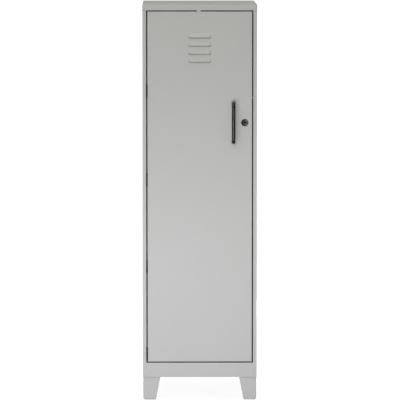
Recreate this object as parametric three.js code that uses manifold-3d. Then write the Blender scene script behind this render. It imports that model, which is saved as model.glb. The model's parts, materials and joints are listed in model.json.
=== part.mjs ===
// A single-door steel locker cabinet on four tapered legs, with three adjustable shelves behind a
// louvred door.
//
// Millimetres, +Z up. The front faces -Y, and +X is to the right of a person who faces the door.
// The origin is on the floor, under the middle of the whole cabinet, its pull handle included.
// Every sheet-metal piece is drawn with the sheet's real thickness, and pieces that touch keep JOIN_GAP
// between them.

import * as THREE from "three";
import { mergeVertices } from "three/addons/utils/BufferGeometryUtils.js";
import Module from "manifold-3d";

const wasm = await Module();
wasm.setup();

// -------------------------------------------------------------------------------------------------
// Driving dimensions
// -------------------------------------------------------------------------------------------------

const SHEET = 0.8; // body, door and shelf steel
const JOIN_GAP = 0.3; // left between two pieces that touch
const CUT_OVERRUN = 2; // how far a cutting tool runs past the surface that it cuts

// Body
const BODY_WIDTH = 380;
const BODY_DEPTH = 457; // front face of the stiles to the back face
const HEIGHT = 1320;
const STILE_WIDTH = 12.5; // face of the body at each side of the door
const REAR_FLANGE = 16;
const STOP_FLANGE = 15; // the flange that the closed door stands in front of
const BASE_RAIL_HEIGHT = 49;
const FLOOR_RISE = 12; // floor pan above the base rail's top edge
const PAN_FLANGE = 24;

// Top cap
const CAP_HEIGHT = 20;
const CAP_PROUD = 0.5; // each side of the body
const CAP_RETURN = 30;
const HEADER_DROP = 17; // door stop below the cap
const HEADER_SEAT = 30;

// Door
const DOOR_THICKNESS = 20;
const DOOR_RETURN = 12; // the folded rim on the inside of the door
const SIDE_GAP = 3.5;
const END_GAP = 3; // above and below the door
const STOP_CLEARANCE = 2; // door to stop flange
const STIFFENER_DEPTH = 16;
const STIFFENER_HALF_HAT = 26;
const STIFFENER_FOOT = 12; // each of its flanges, against the skin

// Louvres
const LOUVRE_COUNT = 4;
const LOUVRE_PITCH = 27;
const LOUVRE_TOP_LIP = 1208.2; // height of the highest lip above the floor
const LOUVRE_HOOD = 15;
const LOUVRE_REACH = 5.5;
const LOUVRE_LIP_WIDTH = 79;
const LOUVRE_CREST_WIDTH = 71;

// Hinges
const HINGE_HEIGHTS = { top: 1033, upper: 738.5, lower: 447, bottom: 155 };
const HINGE_LENGTH = 40;
const HINGE_KNUCKLES = 5;
const HINGE_SETBACK = 1; // pin axis behind the door's face
const KNUCKLE_RADIUS = 2.5;
const KNUCKLE_BORE = 1.5;
const HINGE_SIDES = 12;
const PIN_RADIUS = 1.2;
const PIN_HEAD_RADIUS = 2;
const PIN_HEAD_HEIGHT = 0.8;
const LEAF_CLEARANCE = 0.4; // a leaf to the other leaf's knuckles
const LEAF_THICKNESS = 0.9;
const LEAF_DEPTH = 18;
const NOTCH_WIDTH = 1.2; // cut from the stile and from the door for the knuckles
const NOTCH_DEPTH = 3.4;
const NOTCH_HEIGHT = HINGE_LENGTH + 3;

// Handle and lock
const HANDLE_X = 112.5;
const GRIP_HEIGHT = 928; // middle of the handle, and the lock's axis
const HANDLE_CENTRES = 128;
const HANDLE_BAR_RADIUS = 6;
const HANDLE_REACH = 30;
const HANDLE_BEND = 13;
const SCREW_RADIUS = 1.6;
const SCREW_DEPTH = 10; // of the handle's screws, into the bar
const SCREW_HEAD_RADIUS = 4;
const SCREW_HEAD_HEIGHT = 2.4;
const LOCK_X = 149.5;
const LOCK_RIM_RADIUS = 11.2;
const LOCK_RIM_THICKNESS = 2.6;
const LOCK_BARREL_RADIUS = 9;
const LOCK_RIM_CHAMFER = 0.9;
const LOCK_BARREL_LENGTH = 22;
const LOCK_NUT_RADIUS = 13.5; // to its corners
const LOCK_NUT_HEIGHT = 4;
const PLUG_RADIUS = 6;
const KEYWAY_WIDTH = 1.6;
const KEYWAY_HEIGHT = 7;
const KEYWAY_DEPTH = 15;
const CAM_LENGTH = 28;
const CAM_WIDTH = 12;
const CAM_THICKNESS = 2;
const CAM_SHOULDER = 1.5; // of the cam's round end, past its arm
const CAM_CORNER = 2;

// Shelves, and what holds them
const SHELF_FLANGE = 22;
const SHELF_RIM = 10;
const SHELF_HALF_WIDTH = 180;
const SHELF_FRONT_SETBACK = 36; // behind the front of the stiles
const SHELF_BACK_SETBACK = 6;
const SHELF_SLOTS = { lower: 5, middle: 11, upper: 17 }; // the slot that holds each shelf
const STANDARD_WIDTH = 14;
const STANDARD_DEPTH = 7;
const STANDARD_SETBACK = 60; // centre of a standard behind the stiles, or in front of the back
const STANDARD_BOTTOM = 150;
const STANDARD_TOP = 1285;
const SLOT_PITCH = 50;
const SLOT_COUNT = 23;
const FIRST_SLOT = 155;
const SLOT_WIDTH = 9;
const SLOT_HEIGHT = 3.5;
const CLIP_REACH = 13;
const CLIP_THICKNESS = 1.4;
const CLIP_HEIGHT = 9;
const CLIP_WIDTH = 16;
const CLIP_NECK_WIDTH = 7;

// Legs
const LEG_HEIGHT = 76; // floor to the body's lower edge
const LEG_INSET = 1.4; // the legs slip up inside the body
const LEG_SHEET = 1.5;
const LEG_TOP_WIDTH = 57;
const LEG_FOOT_WIDTH = 43;
const LEG_OVERLAP = 34; // inside the body
const GLIDE_HEIGHT = 4;
const GLIDE_WIDTH = 38;
const GLIDE_CORNER = 5;
const GLIDE_PEG_RADIUS = 4;

// Small buffers on the frame
const TOP_BUFFER = { x: -3.2, width: 12.4, depth: 12, clearance: 0.4 };
const SIDE_BUFFER = { height: 1011, size: 3.3, depth: 6, clearance: 0.9 };

// -------------------------------------------------------------------------------------------------
// Positions that follow from them
// -------------------------------------------------------------------------------------------------

const OVERALL_DEPTH = HANDLE_REACH + BODY_DEPTH + CAP_PROUD;
const FRONT = HANDLE_REACH - OVERALL_DEPTH / 2;
const BACK = FRONT + BODY_DEPTH;
const HALF_BODY = BODY_WIDTH / 2;
const BODY_TOP = HEIGHT - CAP_HEIGHT;
const BASE_TOP = LEG_HEIGHT + BASE_RAIL_HEIGHT;
const FLOOR_TOP = BASE_TOP + FLOOR_RISE;

const JAMB = HALF_BODY - STILE_WIDTH; // inner face of a stile, from the middle
const STOP_PLANE = FRONT + DOOR_THICKNESS + STOP_CLEARANCE;
const STOP_EDGE = JAMB - STOP_FLANGE;
const REAR_PLANE = BACK - SHEET - JOIN_GAP; // back of the side panels, against the back panel

const HALF_DOOR = JAMB - SIDE_GAP;
const DOOR_BOTTOM = BASE_TOP + END_GAP;
const DOOR_HEIGHT = BODY_TOP - END_GAP - DOOR_BOTTOM;

const HINGE_X = -(JAMB + HALF_DOOR) / 2;
const HINGE_Y = FRONT + HINGE_SETBACK;
const LEAF_OFFSET = SIDE_GAP / 2 - JOIN_GAP; // pin axis to the far face of a leaf

// -------------------------------------------------------------------------------------------------
// Finishes
// -------------------------------------------------------------------------------------------------

function finish(colour, roughness, metalness) {
  return new THREE.MeshStandardMaterial({ color: colour, roughness, metalness });
}

const SILVER_PAINT = finish(0xbfbfbd, 0.5, 0.25);
const BLACK_PAINT = finish(0x141415, 0.35, 0.1);
const GUNMETAL = finish(0x4b4b4f, 0.35, 0.9);
const ZINC = finish(0xb4b6b8, 0.35, 0.9);
const DARK_STEEL = finish(0x3b3a38, 0.45, 0.8);
const PALE_NYLON = finish(0xd4d4d2, 0.55, 0);
const GREY_NYLON = finish(0xa9aaab, 0.6, 0);

// -------------------------------------------------------------------------------------------------
// Solids
// -------------------------------------------------------------------------------------------------

// A closed geometry as a solid that can be joined and cut.
function solidOf(geometry) {
  const bare = geometry.index ? geometry.toNonIndexed() : geometry.clone();
  bare.deleteAttribute("normal");
  bare.deleteAttribute("uv");
  const merged = mergeVertices(bare, 1e-4);
  return new wasm.Manifold(
    new wasm.Mesh({
      numProp: 3,
      vertProperties: merged.attributes.position.array,
      triVerts: new Uint32Array(merged.index.array),
    }),
  );
}

// A solid as a flat-shaded geometry.
function geometryOf(solid) {
  const mesh = solid.getMesh();
  const geometry = new THREE.BufferGeometry();
  geometry.setAttribute("position", new THREE.BufferAttribute(mesh.vertProperties, 3));
  geometry.setIndex(new THREE.BufferAttribute(mesh.triVerts, 1));
  const flat = geometry.toNonIndexed();
  flat.computeVertexNormals();
  return flat;
}

function join(...solids) {
  return solids.reduce((whole, next) => whole.add(next));
}

function cut(solid, ...tools) {
  return tools.reduce((rest, tool) => rest.subtract(tool), solid);
}

// A box between two values on each axis.
function box([x0, x1], [y0, y1], [z0, z1]) {
  const geometry = new THREE.BoxGeometry(x1 - x0, y1 - y0, z1 - z0);
  geometry.translate((x0 + x1) / 2, (y0 + y1) / 2, (z0 + z1) / 2);
  return solidOf(geometry);
}

const X = new THREE.Vector3(1, 0, 0);
const Y = new THREE.Vector3(0, 1, 0);
const Z = new THREE.Vector3(0, 0, 1);
const BASES = {
  x: new THREE.Matrix4().makeBasis(Y, Z, X),
  y: new THREE.Matrix4().makeBasis(X, Z, Y.clone().negate()),
  z: new THREE.Matrix4(),
};

// An outline extruded along one axis. Its own two coordinates are the other two axes, in X, Y, Z order.
function extruded(outline, axis, [from, to], curveSegments = 4) {
  const shape = outline instanceof THREE.Shape ? outline : new THREE.Shape(outline);
  const geometry = new THREE.ExtrudeGeometry(shape, { depth: to - from, bevelEnabled: false, curveSegments });
  geometry.applyMatrix4(BASES[axis]);
  const along = { x: X, y: Y, z: Z }[axis];
  geometry.translate(...along.clone().multiplyScalar(axis === "y" ? to : from));
  return solidOf(geometry);
}

// A round bar along one axis.
function bar(radius, axis, [from, to], sides = 24) {
  const geometry = new THREE.CylinderGeometry(radius, radius, to - from, sides);
  if (axis === "z") geometry.rotateX(Math.PI / 2);
  if (axis === "x") geometry.rotateZ(Math.PI / 2);
  const along = { x: X, y: Y, z: Z }[axis];
  geometry.translate(...along.clone().multiplyScalar((from + to) / 2));
  return solidOf(geometry);
}

// A solid of revolution about the Y axis: its profile is a list of [radius, y] from the front to the back.
function turned(profile, sides = 24) {
  const points = profile.map(([radius, y]) => new THREE.Vector2(radius, y));
  return solidOf(new THREE.LatheGeometry(points, sides));
}

function point(u, v) {
  return new THREE.Vector2(u, v);
}

// The closed outline of a folded sheet. The path is its outer line, with the metal to the right of it.
function foldedOutline(path, thickness) {
  const corners = path.map(([u, v]) => point(u, v));
  const rightOf = corners.slice(1).map((end, i) => {
    const step = end.clone().sub(corners[i]).normalize();
    return point(step.y, -step.x);
  });
  const inner = corners.map((corner, i) => {
    const before = rightOf[Math.max(i - 1, 0)];
    const after = rightOf[Math.min(i, rightOf.length - 1)];
    const mitre = before.clone().add(after);
    return corner.clone().addScaledVector(mitre, thickness / (1 + before.dot(after)));
  });
  return [...corners, ...inner.reverse()];
}

// A folded tray: a box of sheet metal, open on the side named by axis and end (0 for the low side, 1 for the
// high one), whose rim turns inwards by rim. A rim of 0 leaves the flanges straight.
function tray(ranges, axis, end, rim) {
  const inset = (margin, overrun) =>
    ["x", "y", "z"].map((name) => {
      const [low, high] = ranges[name];
      if (name !== axis || overrun === 0) return [low + margin, high - margin];
      return end === 0 ? [low - overrun, high - SHEET] : [low + SHEET, high + overrun];
    });
  const outer = box(ranges.x, ranges.y, ranges.z);
  if (rim === 0) return cut(outer, box(...inset(SHEET, CUT_OVERRUN)));
  return cut(outer, box(...inset(SHEET, 0)), box(...inset(rim, CUT_OVERRUN)));
}

// -------------------------------------------------------------------------------------------------
// Body
// -------------------------------------------------------------------------------------------------

// One sheet makes the rear flange, the side wall, the stile, the jamb and the door stop. Right-hand side.
function sidePanel() {
  const plan = foldedOutline(
    [
      [HALF_BODY - REAR_FLANGE, REAR_PLANE],
      [HALF_BODY, REAR_PLANE],
      [HALF_BODY, FRONT],
      [JAMB, FRONT],
      [JAMB, STOP_PLANE],
      [STOP_EDGE, STOP_PLANE],
    ],
    SHEET,
  );
  const panel = extruded(plan, "z", [LEG_HEIGHT, BODY_TOP - JOIN_GAP]);
  const belowBase = [LEG_HEIGHT - CUT_OVERRUN, BASE_TOP - SHEET];
  const legRoom = [STOP_EDGE - CUT_OVERRUN, HALF_BODY - SHEET];
  const front = box(legRoom, [FRONT + SHEET, STOP_PLANE + CUT_OVERRUN], belowBase);
  const rear = box(legRoom, [REAR_PLANE - CUT_OVERRUN, REAR_PLANE + CUT_OVERRUN], belowBase);
  return cut(panel, front, rear);
}

// Cutting tools that make room for the hinge knuckles in an edge whose metal is on the +X side of it.
function hingeNotches(edge, front, floor) {
  return Object.values(HINGE_HEIGHTS).map((height) => {
    const middle = height - floor;
    const along = [middle - NOTCH_HEIGHT / 2, middle + NOTCH_HEIGHT / 2];
    return box([edge - CUT_OVERRUN, edge + NOTCH_WIDTH], [front - CUT_OVERRUN, front + NOTCH_DEPTH], along);
  });
}

function hingedSidePanel() {
  return cut(sidePanel(), ...hingeNotches(JAMB, FRONT, 0));
}

function backPanel() {
  const halfWidth = HALF_BODY - JOIN_GAP / 2;
  return box([-halfWidth, halfWidth], [BACK - SHEET, BACK], [LEG_HEIGHT, BODY_TOP - JOIN_GAP]);
}

// A shallow closed tray that sits on the body.
function topCap() {
  const halfWidth = HALF_BODY + CAP_PROUD;
  const ranges = {
    x: [-halfWidth, halfWidth],
    y: [FRONT - CAP_PROUD, BACK + CAP_PROUD],
    z: [BODY_TOP, HEIGHT],
  };
  return tray(ranges, "z", 0, CAP_RETURN);
}

function floorPan() {
  const halfWidth = HALF_BODY - SHEET - JOIN_GAP;
  const front = STOP_PLANE + SHEET + JOIN_GAP;
  const back = REAR_PLANE - SHEET - JOIN_GAP;
  const ranges = {
    x: [-halfWidth, halfWidth],
    y: [front, back],
    z: [FLOOR_TOP - PAN_FLANGE, FLOOR_TOP],
  };
  return tray(ranges, "z", 0, 0);
}

// The face below the door, the sill under it, and the lower door stop.
function baseRail() {
  const section = foldedOutline(
    [
      [FRONT, LEG_HEIGHT],
      [FRONT, BASE_TOP],
      [STOP_PLANE, BASE_TOP],
      [STOP_PLANE, FLOOR_TOP],
    ],
    SHEET,
  );
  const halfWidth = JAMB - JOIN_GAP;
  const rail = extruded(section, "x", [-halfWidth, halfWidth]);
  const besideStop = [STOP_EDGE - JOIN_GAP, JAMB + CUT_OVERRUN];
  const behind = [STOP_PLANE - JOIN_GAP, STOP_PLANE + SHEET + CUT_OVERRUN];
  const tall = [LEG_HEIGHT, FLOOR_TOP + CUT_OVERRUN];
  const mirrored = besideStop.map((x) => -x).reverse();
  return cut(rail, box(besideStop, behind, tall), box(mirrored, behind, tall));
}

// The upper door stop, folded back under the cap.
function headerRail() {
  const seat = BODY_TOP - JOIN_GAP;
  const section = foldedOutline(
    [
      [STOP_PLANE, seat - HEADER_DROP],
      [STOP_PLANE, seat],
      [STOP_PLANE + HEADER_SEAT, seat],
    ],
    SHEET,
  );
  const halfWidth = STOP_EDGE - JOIN_GAP;
  return extruded(section, "x", [-halfWidth, halfWidth]);
}

// A soft block under the cap that centres the top of the door's gap.
function topBuffer() {
  const half = TOP_BUFFER.width / 2;
  const chamfer = 0.6;
  const low = BODY_TOP - END_GAP + TOP_BUFFER.clearance;
  const high = BODY_TOP - JOIN_GAP;
  const outline = [
    point(-half + chamfer, low),
    point(half - chamfer, low),
    point(half, low + chamfer),
    point(half, high),
    point(-half, high),
    point(-half, low + chamfer),
  ];
  const front = FRONT + JOIN_GAP;
  return extruded(outline, "y", [front, front + TOP_BUFFER.depth]);
}

// A soft stud on the right-hand jamb.
function sideBuffer() {
  const reach = [HALF_DOOR + SIDE_BUFFER.clearance, JAMB - JOIN_GAP];
  const half = SIDE_BUFFER.size / 2;
  const nose = bar(half, "x", reach, 12);
  const tail = box(reach, [0, SIDE_BUFFER.depth - half], [-half, half]);
  return join(nose, tail).translate([0, FRONT + JOIN_GAP + half, 0]);
}

// -------------------------------------------------------------------------------------------------
// Legs
// -------------------------------------------------------------------------------------------------

// One bent, tapered sheet with a foot plate. The outer corner is at the origin, and it spreads to +X and +Y.
function leg() {
  const top = LEG_HEIGHT + LEG_OVERLAP;
  const outline = [
    point(0, GLIDE_HEIGHT),
    point(LEG_FOOT_WIDTH, GLIDE_HEIGHT),
    point(LEG_TOP_WIDTH, LEG_HEIGHT),
    point(LEG_TOP_WIDTH, top),
    point(0, top),
  ];
  const face = extruded(outline, "y", [0, LEG_SHEET]);
  const flank = extruded(outline, "x", [0, LEG_SHEET]);
  const foot = [0, LEG_FOOT_WIDTH];
  const plate = box(foot, foot, [GLIDE_HEIGHT, GLIDE_HEIGHT + LEG_SHEET]);
  const hole = bar(GLIDE_PEG_RADIUS + JOIN_GAP, "z", [0, 2 * GLIDE_HEIGHT], 16);
  const middle = LEG_FOOT_WIDTH / 2;
  return cut(join(face, flank, plate), hole.translate([middle, middle, 0]));
}

// A nylon pad with a peg that pushes up into the foot plate. Its middle is at the origin.
function footGlide() {
  const flat = GLIDE_WIDTH / 2 - GLIDE_CORNER;
  const outline = new THREE.Shape();
  outline.absarc(flat, flat, GLIDE_CORNER, 0, Math.PI / 2);
  outline.absarc(-flat, flat, GLIDE_CORNER, Math.PI / 2, Math.PI);
  outline.absarc(-flat, -flat, GLIDE_CORNER, Math.PI, 1.5 * Math.PI);
  outline.absarc(flat, -flat, GLIDE_CORNER, 1.5 * Math.PI, 2 * Math.PI);
  const pad = extruded(outline, "z", [0, GLIDE_HEIGHT - JOIN_GAP], 2);
  const peg = bar(GLIDE_PEG_RADIUS, "z", [GLIDE_HEIGHT / 2, 2 * GLIDE_HEIGHT], 16);
  return join(pad, peg);
}

// -------------------------------------------------------------------------------------------------
// Shelves
// -------------------------------------------------------------------------------------------------

function slotHeight(index) {
  return FIRST_SLOT + SLOT_PITCH * index;
}

// A slotted channel on the right-hand side wall, centred on Y = 0.
function shelfStandard() {
  const wall = HALF_BODY - SHEET - JOIN_GAP;
  const face = wall - STANDARD_DEPTH;
  const half = STANDARD_WIDTH / 2;
  const plan = foldedOutline(
    [
      [wall, half],
      [face, half],
      [face, -half],
      [wall, -half],
    ].reverse(),
    SHEET,
  );
  const channel = extruded(plan, "z", [STANDARD_BOTTOM, STANDARD_TOP]);
  const slots = Array.from({ length: SLOT_COUNT }, (_, index) => {
    const middle = slotHeight(index);
    const tall = [middle - SLOT_HEIGHT / 2, middle + SLOT_HEIGHT / 2];
    return box([face - CUT_OVERRUN, face + CUT_OVERRUN], [-SLOT_WIDTH / 2, SLOT_WIDTH / 2], tall);
  });
  return cut(channel, ...slots);
}

// A bracket that hooks into a slot of a right-hand standard. Its neck is centred on Y = 0 and Z = 0.
function shelfClip() {
  const face = HALF_BODY - SHEET - JOIN_GAP - STANDARD_DEPTH;
  const thick = CLIP_THICKNESS / 2;
  const across = [-CLIP_WIDTH / 2, CLIP_WIDTH / 2];
  const neckAcross = [-CLIP_NECK_WIDTH / 2, CLIP_NECK_WIDTH / 2];
  const outer = face - JOIN_GAP;
  const hookFront = face + SHEET + JOIN_GAP;
  const hookBack = hookFront + CLIP_THICKNESS;
  const tongue = box([outer - CLIP_REACH, outer], across, [-thick, thick]);
  const upright = box([outer - CLIP_THICKNESS, outer], across, [-thick, CLIP_HEIGHT - thick]);
  const neck = box([outer - thick, hookBack], neckAcross, [-thick, thick]);
  const hook = box([hookFront, hookBack], neckAcross, [-SLOT_HEIGHT, thick]);
  return join(tongue, upright, neck, hook);
}

// A pan with its flanges down, resting on the tongues at Z = 0.
function shelf() {
  const seat = CLIP_THICKNESS / 2 + JOIN_GAP;
  const ranges = {
    x: [-SHELF_HALF_WIDTH, SHELF_HALF_WIDTH],
    y: [FRONT + SHELF_FRONT_SETBACK, BACK - SHELF_BACK_SETBACK],
    z: [seat, seat + SHELF_FLANGE],
  };
  return tray(ranges, "z", 0, SHELF_RIM);
}

// -------------------------------------------------------------------------------------------------
// Hinges
// -------------------------------------------------------------------------------------------------

// One leaf with its share of the knuckles, about a pin on the Z axis. side is 1 for the door's leaf.
function hingeLeaf(side, firstKnuckle) {
  const pitch = HINGE_LENGTH / HINGE_KNUCKLES;
  const bottom = -HINGE_LENGTH / 2;
  const near = LEAF_OFFSET - LEAF_THICKNESS;
  const across = side > 0 ? [near, LEAF_OFFSET] : [-LEAF_OFFSET, -near];
  const plateStart = KNUCKLE_RADIUS + LEAF_CLEARANCE;
  const webStart = KNUCKLE_BORE + LEAF_CLEARANCE / 2;
  const plate = box(across, [plateStart, LEAF_DEPTH], [bottom, -bottom]);
  const knuckles = [];
  for (let index = firstKnuckle; index < HINGE_KNUCKLES; index += 2) {
    const tall = [bottom + index * pitch + JOIN_GAP / 2, bottom + (index + 1) * pitch - JOIN_GAP / 2];
    knuckles.push(bar(KNUCKLE_RADIUS, "z", tall, HINGE_SIDES));
    knuckles.push(box(across, [webStart, plateStart + LEAF_CLEARANCE], tall));
  }
  const bore = bar(KNUCKLE_BORE, "z", [bottom - CUT_OVERRUN, CUT_OVERRUN - bottom], HINGE_SIDES);
  return cut(join(plate, ...knuckles), bore);
}

function hingePin() {
  const half = HINGE_LENGTH / 2;
  const headStart = half + JOIN_GAP;
  const shank = bar(PIN_RADIUS, "z", [-half, headStart], HINGE_SIDES);
  const headRange = [headStart - JOIN_GAP / 2, headStart + PIN_HEAD_HEIGHT];
  const head = bar(PIN_HEAD_RADIUS, "z", headRange, HINGE_SIDES);
  return join(shank, head);
}

// -------------------------------------------------------------------------------------------------
// Door. Its own frame has X = 0 in the middle, Y = 0 at its front face and Z = 0 at its lower edge.
// -------------------------------------------------------------------------------------------------

// A wedge-shaped hood, wider at its lip. The lip is at Z = 0.
function louvreWedge(margin) {
  const halfLip = LOUVRE_LIP_WIDTH / 2 - margin;
  const halfCrest = LOUVRE_CREST_WIDTH / 2 - margin;
  const crest = LOUVRE_HOOD - 2 * margin;
  const reach = LOUVRE_REACH - margin;
  const behind = SHEET + margin;
  const outline = [
    point(-halfLip, -margin),
    point(halfLip, -margin),
    point(halfCrest, crest),
    point(-halfCrest, crest),
  ];
  const section = [
    point(behind, -margin),
    point(behind, crest),
    point(0, crest),
    point(-reach, -margin),
  ];
  const across = extruded(section, "x", [-halfLip, halfLip]);
  return across.intersect(extruded(outline, "y", [-LOUVRE_REACH, behind]));
}

function doorSkin() {
  const ranges = { x: [-HALF_DOOR, HALF_DOOR], y: [0, DOOR_THICKNESS], z: [0, DOOR_HEIGHT] };
  let skin = tray(ranges, "y", 1, DOOR_RETURN);
  for (let index = 0; index < LOUVRE_COUNT; index += 1) {
    const lip = [0, 0, LOUVRE_TOP_LIP - index * LOUVRE_PITCH - DOOR_BOTTOM];
    const hooded = join(skin, louvreWedge(0).translate(lip));
    skin = cut(hooded, louvreWedge(SHEET).translate(lip));
  }
  const grip = GRIP_HEIGHT - DOOR_BOTTOM;
  const through = [-CUT_OVERRUN, CUT_OVERRUN];
  const lockHole = bar(LOCK_BARREL_RADIUS + JOIN_GAP, "y", through).translate([LOCK_X, 0, grip]);
  const screwHoles = [-1, 1].map((side) => {
    const height = grip + (side * HANDLE_CENTRES) / 2;
    return bar(SCREW_RADIUS + JOIN_GAP, "y", through, 12).translate([HANDLE_X, 0, height]);
  });
  return cut(skin, lockHole, ...screwHoles, ...hingeNotches(-HALF_DOOR, 0, DOOR_BOTTOM));
}

// A hat-section channel that stops the skin from drumming. It stands against the inside of the skin.
function doorStiffener() {
  const front = SHEET + JOIN_GAP;
  const back = front + STIFFENER_DEPTH;
  const halfHat = STIFFENER_HALF_HAT;
  const halfWidth = halfHat + STIFFENER_FOOT;
  const section = foldedOutline(
    [
      [-halfWidth, front],
      [-halfHat, front],
      [-halfHat, back],
      [halfHat, back],
      [halfHat, front],
      [halfWidth, front],
    ].reverse(),
    SHEET,
  );
  const lowestLip = LOUVRE_TOP_LIP - (LOUVRE_COUNT - 1) * LOUVRE_PITCH - DOOR_BOTTOM;
  return extruded(section, "z", [DOOR_RETURN, lowestLip - DOOR_RETURN]);
}

// A round bar bent into an arch, with a blind hole in each end for its screw. Its middle is at Z = 0.
function pullHandle() {
  const half = HANDLE_CENTRES / 2;
  const out = HANDLE_BAR_RADIUS - HANDLE_REACH;
  const at = (y, z) => new THREE.Vector3(0, y, z);
  const feet = [at(-JOIN_GAP, half), at(-JOIN_GAP, -half)];
  const corners = [at(out, half), at(out, -half)];
  const bendStarts = [at(out + HANDLE_BEND, half), at(out, HANDLE_BEND - half)];
  const bendEnds = [at(out, half - HANDLE_BEND), at(out + HANDLE_BEND, -half)];
  const path = new THREE.CurvePath();
  path.add(new THREE.LineCurve3(feet[0], bendStarts[0]));
  path.add(new THREE.QuadraticBezierCurve3(bendStarts[0], corners[0], bendEnds[0]));
  path.add(new THREE.LineCurve3(bendEnds[0], bendStarts[1]));
  path.add(new THREE.QuadraticBezierCurve3(bendStarts[1], corners[1], bendEnds[1]));
  path.add(new THREE.LineCurve3(bendEnds[1], feet[1]));
  const section = new THREE.Shape();
  section.absarc(0, 0, HANDLE_BAR_RADIUS, 0, 2 * Math.PI);
  const sweep = { steps: 32, curveSegments: 6, extrudePath: path };
  const arch = solidOf(new THREE.ExtrudeGeometry(section, sweep));
  const holeDepth = SCREW_DEPTH + 2;
  const holes = [-1, 1].map((side) =>
    bar(SCREW_RADIUS + JOIN_GAP, "y", [-holeDepth, CUT_OVERRUN], 12).translate([0, 0, side * half]),
  );
  return cut(arch, ...holes);
}

// A screw along the Y axis, from its tip to the face that its head bears on.
function panHeadScrew(radius, headRadius, headHeight, tip, seat) {
  const chamfer = headHeight / 3;
  const profile = [
    [0, tip],
    [radius, tip],
    [radius, seat],
    [headRadius, seat],
    [headRadius, seat + headHeight - chamfer],
    [headRadius - chamfer, seat + headHeight],
    [0, seat + headHeight],
  ];
  return turned(profile, 16);
}

// It goes in from inside the door.
function handleScrew() {
  const seat = SHEET + JOIN_GAP;
  return panHeadScrew(SCREW_RADIUS, SCREW_HEAD_RADIUS, SCREW_HEAD_HEIGHT, -SCREW_DEPTH, seat);
}

// -------------------------------------------------------------------------------------------------
// Lock, about the Y axis, with Y = 0 at the door's front face
// -------------------------------------------------------------------------------------------------

const PLUG_END = LOCK_BARREL_LENGTH + 1;
const CAM_FRONT = PLUG_END + 0.4;
const CAM_BACK = CAM_FRONT + CAM_THICKNESS;
const TAIL_END = CAM_BACK + 0.4;
const TAIL_RADIUS = 3.2;
const CAM_SCREW_RADIUS = 1.5;
const CAM_SCREW_HEAD_RADIUS = 4.8;
const CAM_SCREW_HEAD_HEIGHT = 2;
const CAM_SCREW_LENGTH = 6; // into the plug's tail
const CAM_SCREW_HOLE = 8;

// The housing, with a rim on the face of the door and a barrel through it.
function lockBody() {
  const rimBack = -JOIN_GAP;
  const rimFront = rimBack - LOCK_RIM_THICKNESS;
  const bore = PLUG_RADIUS + JOIN_GAP;
  return turned([
    [bore, rimFront],
    [LOCK_RIM_RADIUS - LOCK_RIM_CHAMFER, rimFront],
    [LOCK_RIM_RADIUS, rimFront + LOCK_RIM_CHAMFER],
    [LOCK_RIM_RADIUS, rimBack],
    [LOCK_BARREL_RADIUS, rimBack],
    [LOCK_BARREL_RADIUS, LOCK_BARREL_LENGTH],
    [bore, LOCK_BARREL_LENGTH],
    [bore, rimFront],
  ]);
}

function lockNut() {
  const front = SHEET + JOIN_GAP;
  const back = front + LOCK_NUT_HEIGHT;
  const hexagon = bar(LOCK_NUT_RADIUS, "y", [front, back], 6);
  const through = [front - CUT_OVERRUN, back + CUT_OVERRUN];
  return cut(hexagon, bar(LOCK_BARREL_RADIUS + JOIN_GAP, "y", through));
}

// The part that the key turns. Its keyway is upright when the lock is open.
function lockPlug() {
  const face = -LOCK_RIM_THICKNESS;
  const plug = turned([
    [0, face],
    [PLUG_RADIUS, face],
    [PLUG_RADIUS, PLUG_END],
    [TAIL_RADIUS, PLUG_END],
    [TAIL_RADIUS, TAIL_END],
    [0, TAIL_END],
  ]);
  const keyway = box(
    [-KEYWAY_WIDTH / 2, KEYWAY_WIDTH / 2],
    [face - CUT_OVERRUN, face + KEYWAY_DEPTH],
    [-KEYWAY_HEIGHT / 2, KEYWAY_HEIGHT / 2],
  );
  const holeRange = [TAIL_END - CAM_SCREW_HOLE, TAIL_END + CUT_OVERRUN];
  const screwHole = bar(CAM_SCREW_RADIUS + JOIN_GAP, "y", holeRange, 12);
  return cut(plug, keyway, screwHole);
}

// A flat arm that hangs down when the lock is open, and swings behind the right-hand door stop to lock it.
function lockCam() {
  const half = CAM_WIDTH / 2;
  const outline = new THREE.Shape();
  outline.absarc(0, 0, half + CAM_SHOULDER, 0, Math.PI);
  outline.lineTo(-half, -CAM_LENGTH + CAM_CORNER);
  outline.lineTo(-half + CAM_CORNER, -CAM_LENGTH);
  outline.lineTo(half - CAM_CORNER, -CAM_LENGTH);
  outline.lineTo(half, -CAM_LENGTH + CAM_CORNER);
  const arm = extruded(outline, "y", [CAM_FRONT, CAM_BACK], 6);
  const through = [CAM_FRONT - CUT_OVERRUN, CAM_BACK + CUT_OVERRUN];
  return cut(arm, bar(TAIL_RADIUS + JOIN_GAP, "y", through));
}

function camScrew() {
  const tip = TAIL_END - CAM_SCREW_LENGTH;
  const seat = TAIL_END + JOIN_GAP;
  return panHeadScrew(CAM_SCREW_RADIUS, CAM_SCREW_HEAD_RADIUS, CAM_SCREW_HEAD_HEIGHT, tip, seat);
}

// -------------------------------------------------------------------------------------------------
// Assembly
// -------------------------------------------------------------------------------------------------

function piece(parent, name, geometry, material, position = [0, 0, 0], scale = [1, 1, 1]) {
  const mesh = new THREE.Mesh(geometry, material);
  mesh.name = name;
  mesh.position.set(...position);
  mesh.scale.set(...scale);
  parent.add(mesh);
}

const SIDES = { left: -1, right: 1 };
const ENDS = { front: -1, rear: 1 };

const cabinet = new THREE.Group();

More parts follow.
